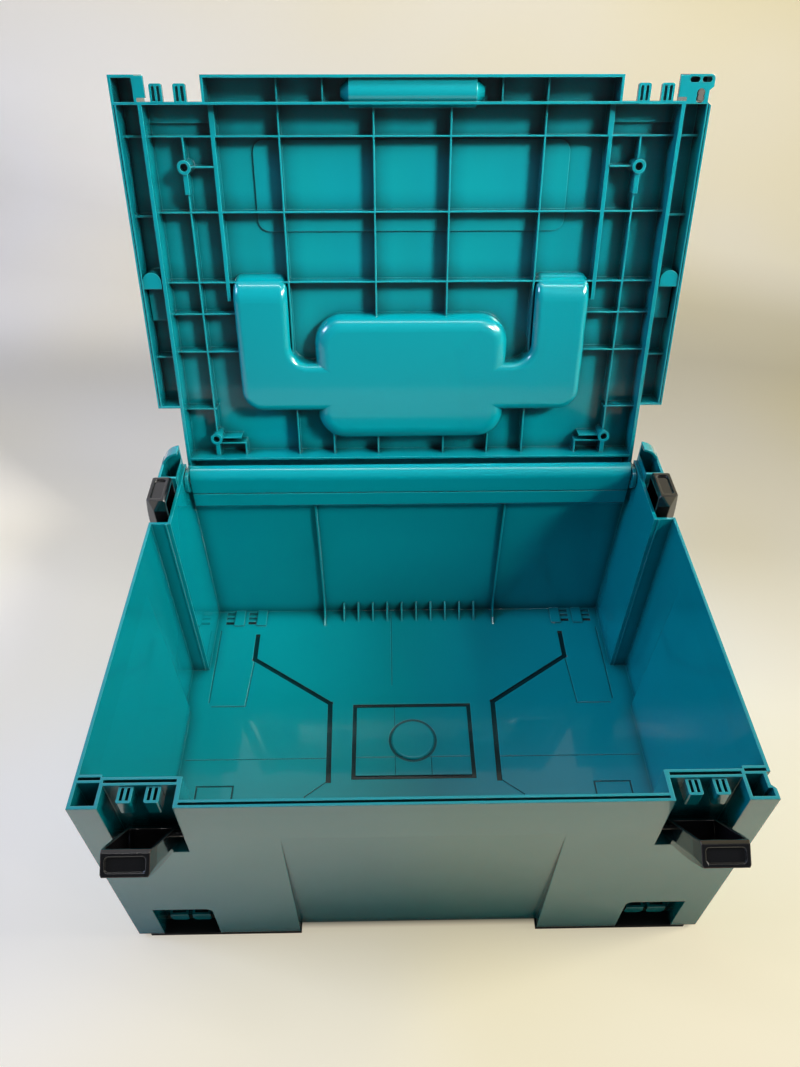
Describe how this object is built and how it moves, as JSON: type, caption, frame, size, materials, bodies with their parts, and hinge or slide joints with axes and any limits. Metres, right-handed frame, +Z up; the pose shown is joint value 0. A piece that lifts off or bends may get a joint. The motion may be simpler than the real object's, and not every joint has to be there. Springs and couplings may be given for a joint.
{
  "type": "hard tool case",
  "caption": "Hard tool case with a hollow moulded base, a ribbed lid on two hinge pins, swinging toggle latches at the corners and a carry handle folding into the lid.",
  "frame": {"origin": "under the middle of the base, on the ground plane that its feet stand on", "axes": "+X to the right seen from the front, +Y towards the hinge at the back, +Z up"},
  "size_m": [0.4018, 0.424, 0.453],
  "materials": {
    "teal_shell": "glossy moulded plastic",
    "black_latch": "glossy moulded plastic",
    "soft_grip": "soft matte",
    "steel_pin": "ground",
    "foot_rubber": "matte"
  },
  "bodies": {
    "base": {"base_tub": "teal_shell", "hinge_pin_left": "steel_pin", "hinge_pin_right": "steel_pin", "front_latch_pin_left": "black_latch", "front_latch_pin_right": "black_latch", "side_latch_pin_left": "black_latch", "side_latch_pin_right": "black_latch", "front_foot_left": "foot_rubber", "front_foot_right": "foot_rubber", "rear_foot_left": "foot_rubber", "rear_foot_right": "foot_rubber"},
    "lid": {"lid_shell": "teal_shell", "handle_pin_left": "steel_pin", "handle_pin_right": "steel_pin"},
    "handle": {"handle_frame": "black_latch", "handle_grip": "soft_grip"},
    "front_latch_left": {"front_latch_left": "black_latch"},
    "front_latch_right": {"front_latch_right": "black_latch"},
    "side_latch_left": {"side_latch_left": "black_latch"},
    "side_latch_right": {"side_latch_right": "black_latch"}
  },
  "joints": [
    {"name": "lid_hinge", "type": "hinge", "parent": "base", "child": "lid", "pos_m": [0, 0.1382, 0.1792], "axis": [1, 0, 0], "range_deg": [0, 105]},
    {"name": "handle_hinge", "type": "hinge", "parent": "lid", "child": "handle", "pos_m": [0, 0.19503, 0.31015], "axis": [1, 0, 0], "range_deg": [-15, 75]},
    {"name": "front_latch_left_hinge", "type": "hinge", "parent": "base", "child": "front_latch_left", "pos_m": [-0.16025, -0.14, 0.141], "axis": [-1, 0, 0], "range_deg": [0, 39]},
    {"name": "front_latch_right_hinge", "type": "hinge", "parent": "base", "child": "front_latch_right", "pos_m": [0.16025, -0.14, 0.141], "axis": [-1, 0, 0], "range_deg": [0, 39]},
    {"name": "side_latch_left_hinge", "type": "hinge", "parent": "base", "child": "side_latch_left", "pos_m": [-0.19, 0.1005, 0.148], "axis": [0, -1, 0], "range_deg": [0, 39]},
    {"name": "side_latch_right_hinge", "type": "hinge", "parent": "base", "child": "side_latch_right", "pos_m": [0.19, 0.1005, 0.148], "axis": [0, 1, 0], "range_deg": [0, 39]}
  ]
}
